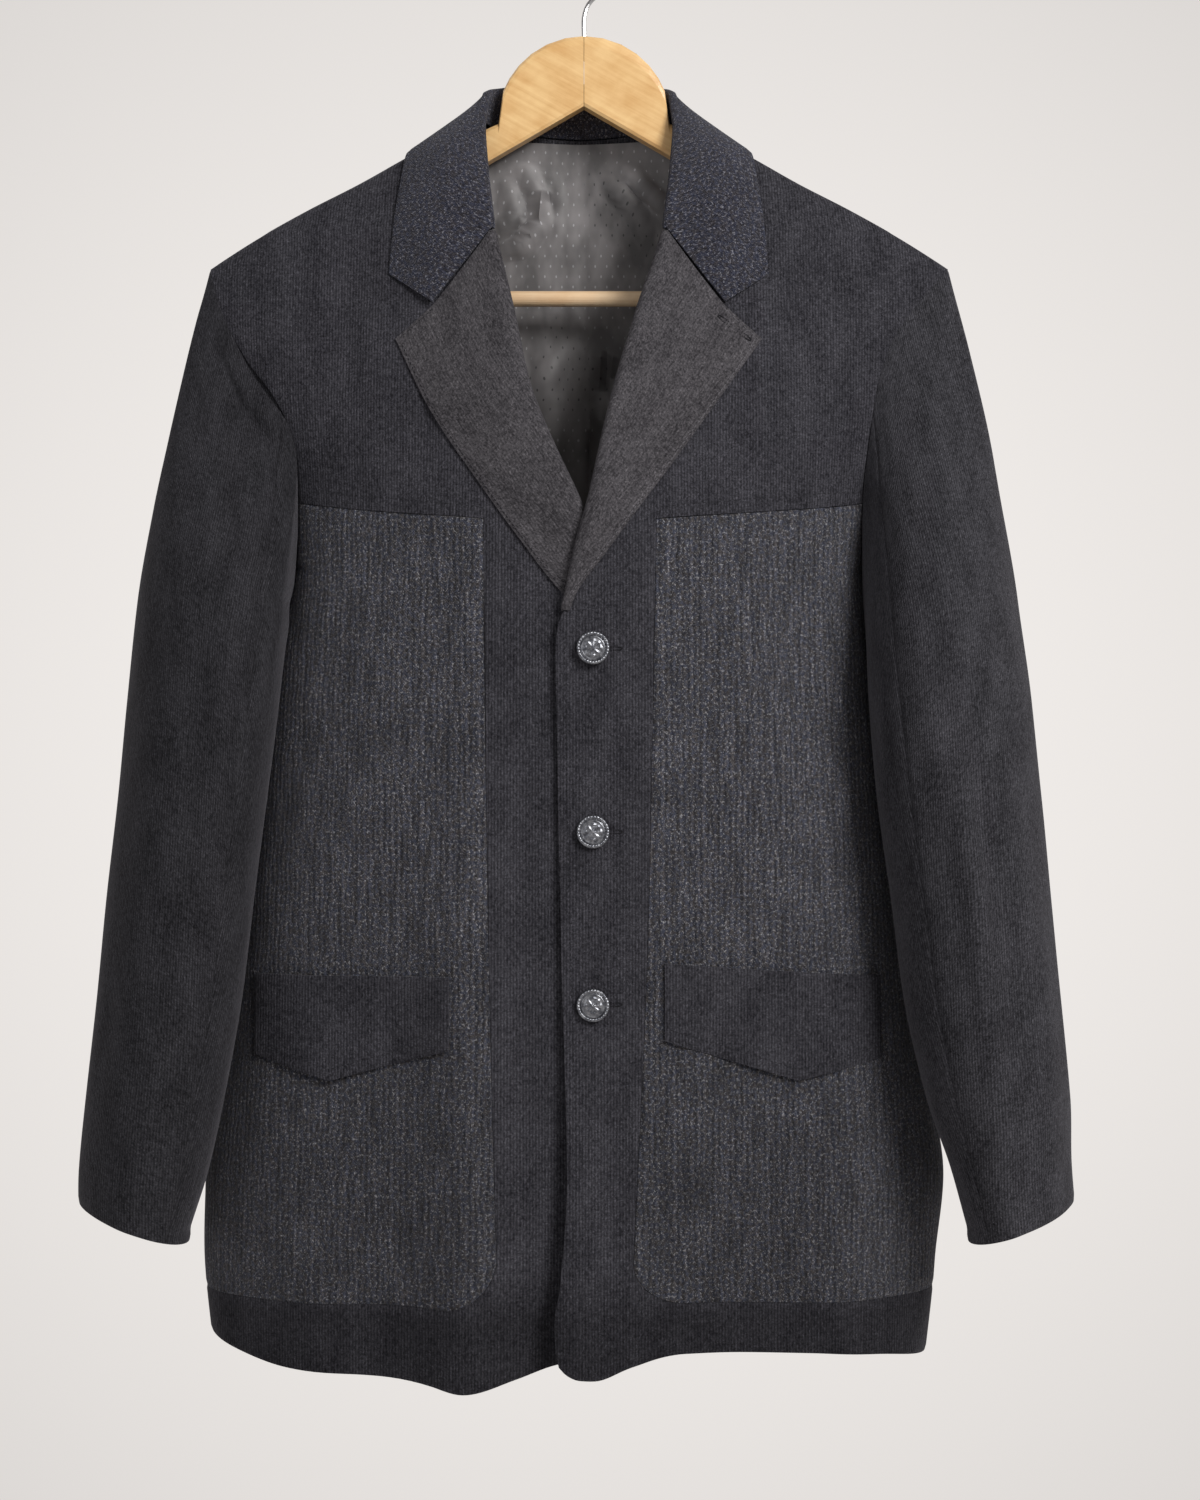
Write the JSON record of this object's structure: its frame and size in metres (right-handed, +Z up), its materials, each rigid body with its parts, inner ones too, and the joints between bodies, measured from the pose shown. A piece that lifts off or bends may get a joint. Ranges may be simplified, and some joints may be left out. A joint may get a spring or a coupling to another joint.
{
  "type": "formal jacket on a wooden hanger",
  "caption": "Single-breasted notch-lapel jacket in needlecord and rib knit, buttoned and hung on an arched wooden hanger with a trouser bar and a wire hook.",
  "frame": {"origin": "the bearing point, the inner top of the hanger's hook", "axes": "+X to the wearer's left, +Y to the wearer's back, +Z up"},
  "size_m": [0.6156, 0.1445, 0.9128],
  "materials": {
    "velvet": "fine needlecord pile, nearly black, matt with a soft edge sheen",
    "knit": "charcoal and navy flecked rib knit, matt",
    "lining": "dark grey satin with small woven dots",
    "button_metal": "antiqued pewter, bright on the raised parts",
    "wood": "light varnished hardwood",
    "steel": "bright bent wire"
  },
  "bodies": {
    "root": {"front_left": "velvet", "front_right": "velvet", "front_panel_left": "knit", "front_panel_right": "knit", "back": "velvet", "lining_back": "lining", "collar": "knit", "lapel_left": "velvet", "lapel_right": "velvet", "sleeve_left_upper": "velvet", "sleeve_left_under": "velvet", "sleeve_right_upper": "velvet", "sleeve_right_under": "velvet", "pocket_flap_left": "velvet", "pocket_flap_right": "velvet", "button_top": "button_metal", "button_middle": "button_metal", "button_bottom": "button_metal", "hanger_arm_left": "wood", "hanger_arm_right": "wood", "hanger_bar": "wood", "hanger_hook": "steel"}
  },
  "joints": []
}
